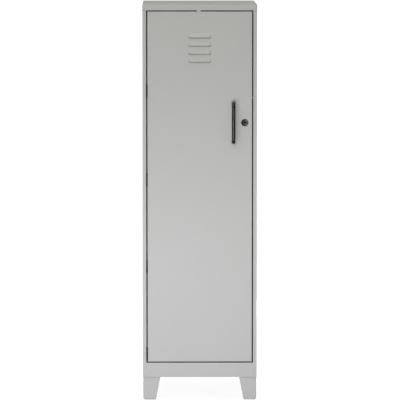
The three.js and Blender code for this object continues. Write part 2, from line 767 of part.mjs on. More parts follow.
piece(cabinet, "side_panel_left", geometryOf(hingedSidePanel()), SILVER_PAINT, [0, 0, 0], [-1, 1, 1]);
piece(cabinet, "side_panel_right", geometryOf(sidePanel()), SILVER_PAINT);
piece(cabinet, "back_panel", geometryOf(backPanel()), SILVER_PAINT);
piece(cabinet, "top_cap", geometryOf(topCap()), SILVER_PAINT);
piece(cabinet, "floor_pan", geometryOf(floorPan()), SILVER_PAINT);
piece(cabinet, "base_rail", geometryOf(baseRail()), SILVER_PAINT);
piece(cabinet, "header_rail", geometryOf(headerRail()), SILVER_PAINT);
piece(cabinet, "top_buffer", geometryOf(topBuffer()), PALE_NYLON, [TOP_BUFFER.x, 0, 0]);
piece(cabinet, "side_buffer", geometryOf(sideBuffer()), GREY_NYLON, [0, 0, SIDE_BUFFER.height]);

const legGeometry = geometryOf(leg());
const glideGeometry = geometryOf(footGlide());
const standardGeometry = geometryOf(shelfStandard());
const clipGeometry = geometryOf(shelfClip());
const shelfGeometry = geometryOf(shelf());

for (const [level, slot] of Object.entries(SHELF_SLOTS)) {
  piece(cabinet, `shelf_${level}`, shelfGeometry, SILVER_PAINT, [0, 0, slotHeight(slot)]);
}

for (const [sideName, side] of Object.entries(SIDES)) {
  for (const [endName, end] of Object.entries(ENDS)) {
    const corner = `${endName}_${sideName}`;
    const legX = side * (HALF_BODY - LEG_INSET);
    const legY = end < 0 ? FRONT + LEG_INSET : BACK - LEG_INSET;
    const glideX = legX - (side * LEG_FOOT_WIDTH) / 2;
    const glideY = legY - (end * LEG_FOOT_WIDTH) / 2;
    piece(cabinet, `leg_${corner}`, legGeometry, SILVER_PAINT, [legX, legY, 0], [-side, -end, 1]);
    piece(cabinet, `foot_glide_${corner}`, glideGeometry, GREY_NYLON, [glideX, glideY, 0]);

    const standardY = end < 0 ? FRONT + STANDARD_SETBACK : BACK - STANDARD_SETBACK;
    const turn = [side, 1, 1];
    piece(cabinet, `shelf_standard_${corner}`, standardGeometry, SILVER_PAINT, [0, standardY, 0], turn);
    for (const [level, slot] of Object.entries(SHELF_SLOTS)) {
      const place = [0, standardY, slotHeight(slot)];
      piece(cabinet, `shelf_clip_${level}_${corner}`, clipGeometry, ZINC, place, turn);
    }
  }
}

const door = new THREE.Group();
door.position.set(0, FRONT, DOOR_BOTTOM);
cabinet.add(door);

piece(door, "door_skin", geometryOf(doorSkin()), SILVER_PAINT);
piece(door, "door_stiffener", geometryOf(doorStiffener()), SILVER_PAINT);

const frameLeaf = geometryOf(hingeLeaf(-1, 0));
const doorLeaf = geometryOf(hingeLeaf(1, 1));
const pinGeometry = geometryOf(hingePin());
for (const [position, height] of Object.entries(HINGE_HEIGHTS)) {
  const onFrame = [HINGE_X, HINGE_Y, height];
  piece(cabinet, `hinge_${position}_frame_leaf`, frameLeaf, DARK_STEEL, onFrame);
  piece(cabinet, `hinge_${position}_pin`, pinGeometry, DARK_STEEL, onFrame);
  const onDoor = [HINGE_X, HINGE_SETBACK, height - DOOR_BOTTOM];
  piece(door, `hinge_${position}_door_leaf`, doorLeaf, DARK_STEEL, onDoor);
}

const gripHeight = GRIP_HEIGHT - DOOR_BOTTOM;
piece(door, "pull_handle", geometryOf(pullHandle()), BLACK_PAINT, [HANDLE_X, 0, gripHeight]);
const screwGeometry = geometryOf(handleScrew());
for (const [position, side] of Object.entries({ upper: 1, lower: -1 })) {
  const place = [HANDLE_X, 0, gripHeight + (side * HANDLE_CENTRES) / 2];
  piece(door, `handle_screw_${position}`, screwGeometry, ZINC, place);
}

const lockPlace = [LOCK_X, 0, gripHeight];
piece(door, "lock_body", geometryOf(lockBody()), BLACK_PAINT, lockPlace);
piece(door, "lock_nut", geometryOf(lockNut()), ZINC, lockPlace);

// What the key turns
const lockCore = new THREE.Group();
lockCore.position.set(...lockPlace);
door.add(lockCore);
piece(lockCore, "lock_plug", geometryOf(lockPlug()), GUNMETAL);
piece(lockCore, "lock_cam", geometryOf(lockCam()), ZINC);
piece(lockCore, "cam_screw", geometryOf(camScrew()), ZINC);

export default cabinet;
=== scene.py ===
"""Looks of the locker cabinet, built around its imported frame.

Metres, +Z up, the front faces -Y. Every piece gets its place and its outer size from the
frame's nodes. The sizes below are the ones that a node's box doesn't tell.
"""

import json
import math

import bmesh
import bpy
from mathutils import Matrix, Vector

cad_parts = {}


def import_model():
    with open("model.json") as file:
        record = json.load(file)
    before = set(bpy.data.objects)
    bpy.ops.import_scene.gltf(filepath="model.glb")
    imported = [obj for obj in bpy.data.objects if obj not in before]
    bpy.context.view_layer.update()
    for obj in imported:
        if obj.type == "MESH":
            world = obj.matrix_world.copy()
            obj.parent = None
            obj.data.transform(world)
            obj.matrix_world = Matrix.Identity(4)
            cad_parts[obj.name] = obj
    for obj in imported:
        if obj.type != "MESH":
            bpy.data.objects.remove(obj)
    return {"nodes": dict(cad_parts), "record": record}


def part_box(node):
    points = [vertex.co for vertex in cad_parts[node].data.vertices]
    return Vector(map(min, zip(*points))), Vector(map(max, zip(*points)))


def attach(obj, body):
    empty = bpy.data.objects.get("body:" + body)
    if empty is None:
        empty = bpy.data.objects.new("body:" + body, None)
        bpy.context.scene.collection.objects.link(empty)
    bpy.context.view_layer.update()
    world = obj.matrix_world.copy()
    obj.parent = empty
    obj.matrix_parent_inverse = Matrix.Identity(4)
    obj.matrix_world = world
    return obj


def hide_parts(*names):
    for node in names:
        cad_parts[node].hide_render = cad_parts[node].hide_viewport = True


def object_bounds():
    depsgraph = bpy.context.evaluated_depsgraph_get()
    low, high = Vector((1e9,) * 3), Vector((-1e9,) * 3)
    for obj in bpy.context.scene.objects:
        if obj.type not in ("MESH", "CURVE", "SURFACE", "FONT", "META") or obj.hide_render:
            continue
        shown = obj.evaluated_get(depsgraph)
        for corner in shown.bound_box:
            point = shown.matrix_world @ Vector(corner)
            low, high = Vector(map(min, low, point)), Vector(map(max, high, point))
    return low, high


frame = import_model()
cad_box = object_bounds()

# Sheet metal
SHEET = 0.0008
BEND = 0.0007  # inside radius of a fold
PAN_BEND = 0.0015  # outside radius of a pan's folded edges and corners
BEND_STEPS = 5
RAW_EDGE = 0.00018  # rounding of a sheet's cut edges
SHARP_ANGLE = 50.0  # degrees between two faces, from which their edge is rounded
FLAT_ANGLE = 1.0  # degrees within which two CAD faces are one
WELD_LINE = 0.00004  # left between two sheets that are welded flush
CUT_OVERRUN = 0.002
SPOT_MERGE = 1e-6  # points of one mesh this close together are the same point
CUT_MERGE = 2e-6  # the same, after a cut
CAD_MERGE = 1e-5  # the same, in the CAD's own meshes

# Body
STILE_WIDTH = 0.0125
STOP_SETBACK = 0.022  # the stiles' face to the door stops
STOP_WIDTH = 0.015
STOP_CUT_DEPTH = 0.002  # forward from the base rail's back, at the ends of its stop
REAR_FLANGE = 0.016
SILL_DROP = 0.012  # the base rail's upper edge to its sill
RAIL_LAP = 0.0018  # how far the rail's face reaches into the stiles
RAIL_WELD_DROP = 0.0144  # the base rail's upper edge to where its face is welded to the stiles
CAP_RIM = 0.03
SHELF_RIM = 0.01
HINGES = ("top", "upper", "lower", "bottom")
NOTCH_WIDTH = 0.0012
NOTCH_DEPTH = 0.0034
NOTCH_MARGIN = 0.0015

# Louvres
LOUVRE_COUNT = 4
LOUVRE_PITCH = 0.027
LOUVRE_BELOW_DOOR_TOP = 0.0888  # the door's top edge to the highest lip
LOUVRE_HOOD = 0.015
LOUVRE_REACH = 0.0055
LOUVRE_HALF_WIDTH = 0.0395
LOUVRE_TAPER = 0.0035  # how much narrower each end of the crest is
LOUVRE_CORNER = 0.005  # radius of a hood's upper corners
LOUVRE_END_RAMP = 0.006  # over this much of each end, the hood comes down to the sheet
LOUVRE_NOSE = 0.32  # share of the hood's height that curls under
LOUVRE_CURL = 1.2  # 1 for a straight underside, more for a rounder nose
LOUVRE_LIP_DEPTH = 0.32  # share of the reach that the curled lip keeps
LOUVRE_SLOPE = 0.6  # 1 for a straight top, less for one that is an S
LOUVRE_SMILE = 0.0042  # how far the lip's ends curve up
LOUVRE_SMILE_REACH = 0.012  # over this much of each end
LOUVRE_END_DETAIL = 0.015  # with finer columns over this much of each end
LOUVRE_END_COLUMNS = 16
LOUVRE_MIDDLE_COLUMNS = 6
LOUVRE_ROWS = 14
LOUVRE_ROW_CROWDING = 1.15  # more than 1 puts the rows closer together near the lip
LOUVRE_MARGIN = 0.01  # flat sheet kept at each side of the hoods
LOUVRE_BELOW = 0.005
LOUVRE_ABOVE = 0.003
SLIT_LEAST = 0.00001  # where a slit is narrower than this, it has closed
DOOR_RIM = 0.012
LOCK_HOLE_RADIUS = 0.0093
SCREW_HOLE_RADIUS = 0.0019
SCREW_HOLE_DEPTH = 0.0125  # in the handle's feet
TOOL_SIDES = 48

# Handle and lock
HANDLE_BEND = 0.013  # radius of the bar's middle line at its two corners
HANDLE_BEND_STEPS = 16
HANDLE_FOOT_STEPS = 4
HANDLE_FOOT_SHARE = 0.74  # width of a foot to the width of the bar
HANDLE_SQUARENESS = 0.72  # 1 for a round bar, less for a squarer one
HANDLE_SIDES = 32
HANDLE_EDGE = 0.0004
HANDLE_SHARP_ANGLE = 60.0
HANDLE_SCREWS = ("handle_screw_upper", "handle_screw_lower")
LOCK_SIDES = 64
LOCK_ROUNDING = 0.0011  # radius of the rim's front edge
LOCK_EDGE = 0.0001
LOCK_SEAT = 0.0003  # left between the rim and the door
LOCK_BARREL_RADIUS = 0.009
LOCK_BORE_RADIUS = 0.0063
LOCK_BORE_CHAMFER = 0.0004
PLUG_RADIUS = 0.006
PLUG_CHAMFER = 0.0004
PLUG_TAIL_RADIUS = 0.0032
PLUG_SHOULDER = 0.001  # behind the lock's barrel
CAM_SCREW_HOLE_RADIUS = 0.0018
CAM_SCREW_HOLE_DEPTH = 0.008
KEYWAY_WIDTH = 0.0016
KEYWAY_HEIGHT = 0.0054
KEYWAY_DEPTH = 0.012
KEY_CONE_RADIUS = 0.0036
KEY_CONE_TAPER = 0.0006
KEY_CONE_DEPTH = 0.004

# Legs and glides
LEG_SHEET = 0.0015
LEG_BEND = 0.0035
LEG_FOOT_WIDTH = 0.043
LEG_PLATE_RAISE = 0.0004
LEG_EDGE = 0.0003
GLIDE_CORNER = 0.005
GLIDE_CORNER_STEPS = 6
GLIDE_EDGE = 0.0007
GLIDE_EDGE_STEPS = 3
GLIDE_SEAT = 0.0003  # left between the pad and the leg
PEG_RADIUS = 0.004
PEG_ROOT = 0.001  # the floor to where the peg starts inside the pad
PEG_SIDES = 32

# Camera: an unshifted lens, far in front of the cabinet and pitched slightly down
CAMERA_DISTANCE = 11.0
CAMERA_X = -0.0849
CAMERA_HEIGHT = 1.6531
CAMERA_PITCH = 0.0891
CAMERA_YAW = 0.0078
CAMERA_LENS = 298.8
CAMERA_SENSOR = 36.0
CAMERA_REACH = 500.0


def low(node):
    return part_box(node)[0]


def high(node):
    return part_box(node)[1]


RECORD = frame["record"]
FINISH_OF = {row["node"]: row["material_slot"] for row in RECORD["subparts"]}
BODY_OF = {
    node: body for body, nodes in RECORD["behaviour"]["bodies"].items() for node in nodes
}
FRONT = low("base_rail").y
BODY_BOTTOM = low("base_rail").z
RAIL_FLUSH_TOP = high("base_rail").z - RAIL_WELD_DROP
RAIL_END = high("side_panel_right").x - STILE_WIDTH + RAIL_LAP
FLOOR = cad_box[0][2]


# ---------------------------------------------------------------------------------------------
# Materials
# ---------------------------------------------------------------------------------------------


MIX_COLOURS = (6, 7)  # the Mix node's sockets for colours
MIX_RESULT = 2
AO_SAMPLES = 8
NOISE_SPAN = (0.3, 0.7)  # the noise's values over which a pattern changes
FLECK_SPAN = (0.35, 0.65)
SCUFF_SPAN = (0.5, 0.7)
SCUFF_LIGHTER = 1.25
DRIFT_DARKEST = 0.975
METAL_SHARE = 0.9
BLOTCH_DARKEST = 0.8
GRAIN_STRETCH = (1.0, 1.0, 0.15)
NYLON_DARKEST = 0.93
SLOT_SHADE_REACH = 0.008
# Painted shade in gaps, slots and under louvre lips, from a shut slot to an open face
SLOT_PAINTED_SHADES = [(0.36, 0.0), (0.66, 0.4), (0.82, 0.84), (0.88, 1.0)]
EDGE_REACH = 0.0006
EDGE_SHADES = [(0.55, 1.0), (0.85, 0.0)]  # from an edge to a flat face
# Painted shade in the holes of bare and plated metal
KEY_SHADE_REACH = 0.008
KEY_PAINTED_SHADES = [(0.2, 0.02), (0.8, 1.0)]  # from the bottom of a keyway to an open face


def surface(name):
    """A new material with its shader, and object coordinates for its patterns."""
    material = bpy.data.materials.new(name)
    material.use_nodes = True
    nodes = material.node_tree.nodes
    nodes.clear()
    output = nodes.new("ShaderNodeOutputMaterial")
    shader = nodes.new("ShaderNodeBsdfPrincipled")
    coordinates = nodes.new("ShaderNodeTexCoord")
    material.node_tree.links.new(shader.outputs["BSDF"], output.inputs["Surface"])
    return material, shader, coordinates


def noise(material, coordinates, scale, detail, stretch=(1.0, 1.0, 1.0)):
    """A noise pattern with features 1 / scale metres across."""
    tree = material.node_tree
    mapping = tree.nodes.new("ShaderNodeMapping")
    mapping.inputs["Scale"].default_value = [scale * share for share in stretch]
    texture = tree.nodes.new("ShaderNodeTexNoise")
    texture.inputs["Scale"].default_value = 1.0
    texture.inputs["Detail"].default_value = detail
    tree.links.new(coordinates.outputs["Object"], mapping.inputs["Vector"])
    tree.links.new(mapping.outputs["Vector"], texture.inputs["Vector"])
    return texture.outputs["Fac"]


def ramp(material, value, stops):
    """A value turned into colours or shades by its stops, as (place, shade) pairs."""
    tree = material.node_tree
    node = tree.nodes.new("ShaderNodeValToRGB")
    elements = node.color_ramp.elements
    for element, (place, shade) in zip(elements, (stops[0], stops[-1])):
        element.position = place
        element.color = shade
    for place, shade in stops[1:-1]:
        elements.new(place).color = shade
    tree.links.new(value, node.inputs["Fac"])
    return node.outputs["Color"]


def between(material, value, dark, light, span=NOISE_SPAN):
    """A pattern that changes from one colour or shade to another over its span."""
    return ramp(material, value, [(span[0], dark), (span[1], light)])


def mixed(material, kind, factor, first, second):
    """Two colours, or two nodes' outputs, put together in one of the Mix node's ways."""
    tree = material.node_tree
    node = tree.nodes.new("ShaderNodeMix")
    node.data_type = "RGBA"
    node.blend_type = kind
    if isinstance(factor, float):
        node.inputs["Factor"].default_value = factor
    else:
        tree.links.new(factor, node.inputs["Factor"])
    for index, value in zip(MIX_COLOURS, (first, second)):
        socket = node.inputs[index]
        if isinstance(value, tuple):
            socket.default_value = value
        else:
            tree.links.new(value, socket)
    return node.outputs[MIX_RESULT]


def grey(shade):
    return (shade, shade, shade, 1.0)


def shaded(colour, share):
    """A colour made darker or lighter, with its alpha."""
    return tuple(min(1.0, channel * share) for channel in colour) + (1.0,)


def bump(material, shader, height, strength, distance):
    tree = material.node_tree
    node = tree.nodes.new("ShaderNodeBump")
    node.inputs["Strength"].default_value = strength
    node.inputs["Distance"].default_value = distance
    tree.links.new(height, node.inputs["Height"])
    tree.links.new(node.outputs["Normal"], shader.inputs["Normal"])


def nearness(material, reach, stops, inside=False):
    """Ramps how much metal is in reach, on the open side or inside: painted shade, or an edge mask.
    """
    node = material.node_tree.nodes.new("ShaderNodeAmbientOcclusion")
    node.samples = AO_SAMPLES
    node.inside = inside
    node.inputs["Distance"].default_value = reach
    return ramp(material, node.outputs["AO"], [(place, grey(shade)) for place, shade in stops])


def gloss(material, shader, pattern, roughness, less, more):
    """Varies a material's roughness by a pattern."""
    varied = between(material, pattern, grey(roughness - less), grey(roughness + more))
    material.node_tree.links.new(varied, shader.inputs["Roughness"])


def painted(name, colour, roughness, metallic, specular, flake, wear):
    """Powder coat: orange peel, fine flake, slow drifts of tone, painted shade in slots and scuffed
    edges.
    """
    material, shader, coordinates = surface(name)
    link = material.node_tree.links.new
    peel = noise(material, coordinates, scale=900.0, detail=2.0)
    grain = noise(material, coordinates, scale=3200.0, detail=1.0)
    drift = noise(material, coordinates, scale=4.0, detail=3.0)
    dark, light = shaded(colour, 1.0 - flake), shaded(colour, 1.0 + flake)
    flecked = between(material, grain, dark, light, FLECK_SPAN)
    toned = between(material, drift, grey(DRIFT_DARKEST), grey(1.0))
    paint = mixed(material, "MULTIPLY", 1.0, flecked, toned)
    edges = nearness(material, EDGE_REACH, EDGE_SHADES, inside=True)
    rubbing = noise(material, coordinates, scale=220.0, detail=4.0)
    scuffs = between(material, rubbing, grey(0.0), grey(wear), SCUFF_SPAN)
    worn = mixed(material, "MULTIPLY", 1.0, edges, scuffs)
    coated = mixed(material, "MIX", worn, paint, shaded(colour, SCUFF_LIGHTER))
    # Painted shade: darker where other metal is close, as in the door gaps, under the louvre lips and
    # at seams
    painted_shade = nearness(material, SLOT_SHADE_REACH, SLOT_PAINTED_SHADES)
    link(mixed(material, "MULTIPLY", 1.0, coated, painted_shade), shader.inputs["Base Color"])
    gloss(material, shader, peel, roughness, less=0.05, more=0.05)
    shader.inputs["Metallic"].default_value = metallic
    shader.inputs["Specular IOR Level"].default_value = specular
    bump(material, shader, peel, strength=0.12, distance=0.0002)
    return material


def plated(name, colour, roughness, grain_scale):
    """Bare or plated metal with drawn grain and small blotches, and painted shade in its holes."""
    material, shader, coordinates = surface(name)
    link = material.node_tree.links.new
    grain = noise(material, coordinates, grain_scale, detail=4.0, stretch=GRAIN_STRETCH)
    blotch = noise(material, coordinates, scale=160.0, detail=3.0)
    dark, light = shaded(colour, BLOTCH_DARKEST), shaded(colour, 1.0)
    blotched = between(material, blotch, dark, light)
    # Painted shade: darker deep in holes, such as the keyway
    painted_shade = nearness(material, KEY_SHADE_REACH, KEY_PAINTED_SHADES)
    link(mixed(material, "MULTIPLY", 1.0, blotched, painted_shade), shader.inputs["Base Color"])
    gloss(material, shader, grain, roughness, less=0.08, more=0.1)
    shader.inputs["Metallic"].default_value = METAL_SHARE
    bump(material, shader, grain, strength=0.15, distance=0.0001)
    return material


def moulded(name, colour, roughness):
    """Moulded nylon with a fine matt texture."""
    material, shader, coordinates = surface(name)
    link = material.node_tree.links.new
    texture = noise(material, coordinates, scale=1500.0, detail=2.0)
    tone = noise(material, coordinates, scale=60.0, detail=2.0)
    dark, light = shaded(colour, NYLON_DARKEST), shaded(colour, 1.0)
    link(between(material, tone, dark, light), shader.inputs["Base Color"])
    gloss(material, shader, texture, roughness, less=0.06, more=0.06)
    bump(material, shader, texture, strength=0.2, distance=0.0001)
    return material


FINISHES = {
    "silver_powder_coat": painted(
        "silver_powder_coat",
        colour=(0.5, 0.5, 0.516),
        roughness=0.5,
        metallic=0.1,
        specular=0.3,
        flake=0.03,
        wear=0.5,
    ),
    "black_coat": painted(
        "black_coat",
        colour=(0.002, 0.002, 0.0022),
        roughness=0.1,
        metallic=0.0,
        specular=0.42,
        flake=0.25,
        wear=0.3,
    ),
    "gunmetal": plated("gunmetal", (0.05, 0.05, 0.054), roughness=0.34, grain_scale=900.0),
    "zinc_plate": plated("zinc_plate", (0.55, 0.56, 0.57), roughness=0.36, grain_scale=700.0),
    "dark_steel": plated("dark_steel", (0.06, 0.058, 0.055), roughness=0.42, grain_scale=700.0),
    "pale_nylon": moulded("pale_nylon", (0.86, 0.86, 0.85), roughness=0.5),
    "grey_nylon": moulded("grey_nylon", (0.66, 0.67, 0.67), roughness=0.55),
}


# ---------------------------------------------------------------------------------------------
# Mesh tools
# ---------------------------------------------------------------------------------------------


def merge(bm, distance):
    bmesh.ops.remove_doubles(bm, verts=bm.verts, dist=distance)
    bmesh.ops.dissolve_degenerate(bm, edges=bm.edges, dist=distance)


def make(name, bm):
    """A new object with the mesh."""
    mesh = bpy.data.meshes.new(name)
    bm.to_mesh(mesh)
    bm.free()
    made = bpy.data.objects.new(name, mesh)
    bpy.context.scene.collection.objects.link(made)
    return made


def closed(name, bm):
    """A new object whose faces all look outwards. The mesh has to be a closed one."""
    bmesh.ops.recalc_face_normals(bm, faces=bm.faces)
    return make(name, bm)


def settle(piece):
    """Turns a piece's modifiers into its mesh."""
    graph = bpy.context.evaluated_depsgraph_get()
    mesh = bpy.data.meshes.new_from_object(piece.evaluated_get(graph))
    piece.modifiers.clear()
    piece.data = mesh
    return piece


def combine(piece, operation, tools):
    """Adds the tools to a piece, or cuts them out of it, and removes them."""
    for tool in tools:
        modifier = piece.modifiers.new("combine", "BOOLEAN")
        modifier.operation = operation
        modifier.solver = "EXACT"
        modifier.object = tool
    settle(piece)
    for tool in tools:
        bpy.data.objects.remove(tool)
    bm = bmesh.new()
    bm.from_mesh(piece.data)
    merge(bm, CUT_MERGE)
    bm.to_mesh(piece.data)
    bm.free()
    return piece


def cut(piece, *tools):
    return combine(piece, "DIFFERENCE", tools)


def join(piece, *others):
    return combine(piece, "UNION", others)


def block(lowest, highest):
    """A box between two corners."""
    bm = bmesh.new()
    bmesh.ops.create_cube(bm, size=1.0)
    size = Vector(highest) - Vector(lowest)
    middle = (Vector(highest) + Vector(lowest)) / 2
    bm.transform(Matrix.Translation(middle) @ Matrix.Diagonal(size.to_4d()))
    return closed("block", bm)


def soften(piece, width=RAW_EDGE, segments=2, limit=SHARP_ANGLE):
    """Rounds the sharp edges and keeps the flat faces flat."""
    piece.data.shade_smooth()
    bevel = piece.modifiers.new("edges", "BEVEL")
    bevel.width = width
    bevel.segments = segments
    bevel.limit_method = "ANGLE"
    bevel.angle_limit = math.radians(limit)
    bevel.harden_normals = False
    normals = piece.modifiers.new("flats", "WEIGHTED_NORMAL")
    normals.keep_sharp = True
    return piece


def paint(piece, node):
    """Gives a piece the finish that the record states for a node."""
    finish = FINISH_OF[node]
    piece.data.materials.clear()
    piece.data.materials.append(FINISHES[finish])


def dress(piece, node):
    """Gives a piece the finish and the body of the CAD node that it stands for."""
    paint(piece, node)
    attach(piece, BODY_OF[node])
    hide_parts(node)


def place_in(axis, pair, along):
    """A point whose other two coordinates are the pair, in X, Y, Z order."""
    values = list(pair)
    values.insert("xyz".index(axis), along)
    return values


def folded(corners, thickness=SHEET, radius=BEND):
    """Both sides of a folded sheet, as two lists of points.

    The corners are one side's line, with the metal to the right of it, and radius is the
    inside radius of its folds.
    """
    corners = [Vector(corner) for corner in corners]
    ways = [(end - start).normalized() for start, end in zip(corners, corners[1:])]
    line = [(corners[0], ways[0])]
    for corner, before, after in zip(corners[1:], ways, ways[1:]):
        turn = math.atan2(before.cross(after), before.dot(after))
        bend = radius + thickness if turn < 0 else radius
        hand = -1 if turn < 0 else 1
        start = corner - before * bend * math.tan(abs(turn) / 2)
        middle = start + before.orthogonal() * hand * bend
        for step in range(BEND_STEPS + 1):
            way = before.copy()
            way.rotate(Matrix.Rotation(turn * step / BEND_STEPS, 2))
            line.append((middle - way.orthogonal() * hand * bend, way))
    line.append((corners[-1], ways[-1]))
    return [spot for spot, _ in line], [spot - way.orthogonal() * thickness for spot, way in line]


def prism(name, section, axis, start, end):
    """A folded sheet's section, extruded along an axis."""
    bm = bmesh.new()
    outer, inner = section
    sides = []
    for along in (start, end):
        sides.append(
            [
                [bm.verts.new(place_in(axis, spot, along)) for spot in line]
                for line in (outer, inner)
            ]
        )
    (near_out, near_in), (far_out, far_in) = sides
    last = len(outer) - 1
    for step in range(last):
        here, there = step, step + 1
        bm.faces.new((near_out[here], near_out[there], far_out[there], far_out[here]))
        bm.faces.new((near_in[here], far_in[here], far_in[there], near_in[there]))
        bm.faces.new((near_out[here], near_in[here], near_in[there], near_out[there]))
        bm.faces.new((far_out[here], far_out[there], far_in[there], far_in[here]))
    for edge in (0, last):
        bm.faces.new((near_out[edge], far_out[edge], far_in[edge], near_in[edge]))
    return closed(name, bm)


def turned(name, profile, centre, axis="y", sides=LOCK_SIDES):
    """A closed solid of revolution. The profile is a list of (radius, distance along the axis)."""
    bm = bmesh.new()
    rings = []
    for side in range(sides):
        angle = 2 * math.pi * side / sides
        ring = []
        for radius, along in profile:
            pair = (
                centre[0] + radius * math.cos(angle),
                centre[1] + radius * math.sin(angle),
            )
            ring.append(bm.verts.new(place_in(axis, pair, along)))
        rings.append(ring)
    for ring, following in zip(rings, rings[1:] + rings[:1]):
        for step in range(len(profile)):
            after = (step + 1) % len(profile)
            bm.faces.new((ring[step], ring[after], following[after], following[step]))
    merge(bm, SPOT_MERGE)
    lone = [edge for edge in bm.edges if edge.is_wire]
    bmesh.ops.delete(bm, geom=lone, context="EDGES")
    return closed(name, bm)


def rod(name, centre, radius, start, end, axis="y", sides=TOOL_SIDES):
    """A round rod from start to end along an axis."""
    profile = [(0.0, start), (radius, start), (radius, end), (0.0, end)]
    return turned(name, profile, centre, axis, sides)


def thickened(piece, thickness, front):
    """Gives a single surface its thickness, behind the side that faces the given way."""
    faces = piece.data.polygons
    biggest = max(faces, key=lambda face: face.area)
    if biggest.normal.dot(Vector(front)) < 0:
        piece.data.flip_normals()
    solid = piece.modifiers.new("thickness", "SOLIDIFY")
    solid.thickness = thickness
    solid.offset = -1
    solid.use_even_offset = True
    return settle(piece)


def spread(start, end, count):
    """Evenly spaced values from start to end, in count steps."""
    return [start + (end - start) * step / count for step in range(count + 1)]


def pan_rings(depth, rim):
    """A pan's edge as (distance out from the face's flat, distance behind it)."""
    turns = [math.pi / 2 * step / BEND_STEPS for step in range(1, BEND_STEPS + 1)]
    rings = [(PAN_BEND * math.sin(turn), PAN_BEND * (1 - math.cos(turn))) for turn in turns]
    if rim == 0:
        return rings + [(PAN_BEND, depth)]
    rings.append((PAN_BEND, depth - PAN_BEND))
    rings += [
        (PAN_BEND * math.cos(turn), depth - PAN_BEND * (1 - math.sin(turn))) for turn in turns
    ]
    return rings + [(PAN_BEND - rim, depth)]


def clamp(value, least, most):
    return max(least, min(most, value))


def ease(share):
    """Turns an even rise from 0 to 1 into one that starts and ends slowly."""
    return share * share * (3 - 2 * share)


def flat_face(bm, across, up, place):
    """A pan's plain face."""
    rows = [[bm.verts.new(place(u, v, 0.0)) for v in up] for u in across]
    for row, following in zip(rows, rows[1:]):
        for step in range(len(up) - 1):
            bm.faces.new((row[step], following[step], following[step + 1], row[step + 1]))


def pan(name, across, up, depth, rim, place, front, grid=flat_face):
    """A folded pan: a face with its four edges turned back by depth, and then inwards by rim.

    across and up are the face's grid lines from edge to edge, and place turns a spot on the
    face, and a distance behind it, into a point. grid builds the face between those lines.
    """
    across = [across[0] + PAN_BEND] + across[1:-1] + [across[-1] - PAN_BEND]
    up = [up[0] + PAN_BEND] + up[1:-1] + [up[-1] - PAN_BEND]
    bm = bmesh.new()
    grid(bm, across, up, place)
    left, right, bottom, top = across[0], across[-1], up[0], up[-1]
    sides = (
        ([(u, bottom) for u in across], -math.pi / 2),
        ([(right, v) for v in up], 0.0),
        ([(u, top) for u in reversed(across)], math.pi / 2),
        ([(left, v) for v in reversed(up)], math.pi),
    )
    walk = []
    for spots, facing in sides:
        walk += [(u, v, facing) for u, v in spots]
        walk += [
            (*spots[-1], facing + math.pi / 2 * step / BEND_STEPS) for step in range(1, BEND_STEPS)
        ]

    def ring(out, behind):
        if out >= 0:
            spots = [(u + out * math.cos(way), v + out * math.sin(way)) for u, v, way in walk]
        else:
            spots = [
                (clamp(u, left - out, right + out), clamp(v, bottom - out, top + out))
                for u, v, _ in walk
            ]
        return [bm.verts.new(place(u, v, behind)) for u, v in spots]

    previous = ring(0.0, 0.0)
    for out, behind in pan_rings(depth, rim):
        following = ring(out, behind)
        for here in range(len(walk)):
            there = (here + 1) % len(walk)
            bm.faces.new((previous[here], previous[there], following[there], following[here]))
        previous = following
    merge(bm, SPOT_MERGE)
    bmesh.ops.recalc_face_normals(bm, faces=bm.faces)
    return thickened(make(name, bm), SHEET, front)


def flat_tray(node, rim):
    """A pan that lies face up, the size of its CAD node."""
    (x0, y0, z0), (x1, y1, z1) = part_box(node)
    across = [x0, (x0 + x1) / 2, x1]
    up = [y0, (y0 + y1) / 2, y1]
    return pan(node + "_pan", across, up, z1 - z0, rim, lambda u, v, d: (u, v, z1 - d), (0, 0, 1))


# ---------------------------------------------------------------------------------------------
# Body
# ---------------------------------------------------------------------------------------------


def notch(name, edge, hand):
    """Room for a hinge's knuckles in an edge. hand is 1 where the metal is on the -X side."""
    lowest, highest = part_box(f"hinge_{name}_door_leaf")
    sides = sorted((edge - hand * NOTCH_WIDTH, edge + hand * CUT_OVERRUN))
    return block(
        (sides[0], FRONT - CUT_OVERRUN, lowest.z - NOTCH_MARGIN),
        (sides[1], FRONT + NOTCH_DEPTH, highest.z + NOTCH_MARGIN),
    )


def side_panel(side, node):
    """The side wall with its stile, jamb and door stop, and its rear flange."""
    (_, y0, z0), (x1, y1, z1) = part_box("side_panel_right")
    jamb = x1 - STILE_WIDTH
    stop_plane = y0 + STOP_SETBACK
    stop_edge = jamb - STOP_WIDTH
    line = [
        (x1 - REAR_FLANGE, y1),
        (x1, y1),
        (x1, y0),
        (jamb, y0),
        (jamb, stop_plane),
        (stop_edge, stop_plane),
    ]
    panel = prism(node + "_sheet", folded(line), "z", z0, z1)
    sill = high("base_rail").z - SILL_DROP - SHEET
    inside = x1 - SHEET
    under = z0 - CUT_OVERRUN
    past_stop = stop_edge - CUT_OVERRUN
    # Cut away: the jamb and the rear flange below the sill, and the stile where the rail laps it
    jamb_foot = block((past_stop, y0 + SHEET, under), (inside, stop_plane + CUT_OVERRUN, sill))
    flange_foot = block((past_stop, y1 - CUT_OVERRUN, under), (inside, y1 + CUT_OVERRUN, sill))
    rail_place = block(
        (stop_edge, y0 - CUT_OVERRUN, under),
        (RAIL_END, y0 + CUT_OVERRUN, RAIL_FLUSH_TOP),
    )
    cut(panel, jamb_foot, flange_foot, rail_place)
    if side < 0:
        panel.data.transform(Matrix.Scale(-1, 4, (1, 0, 0)))
        panel.data.flip_normals()
        cut(panel, *[notch(name, -jamb, 1) for name in HINGES])
    return dress(soften(panel), node)


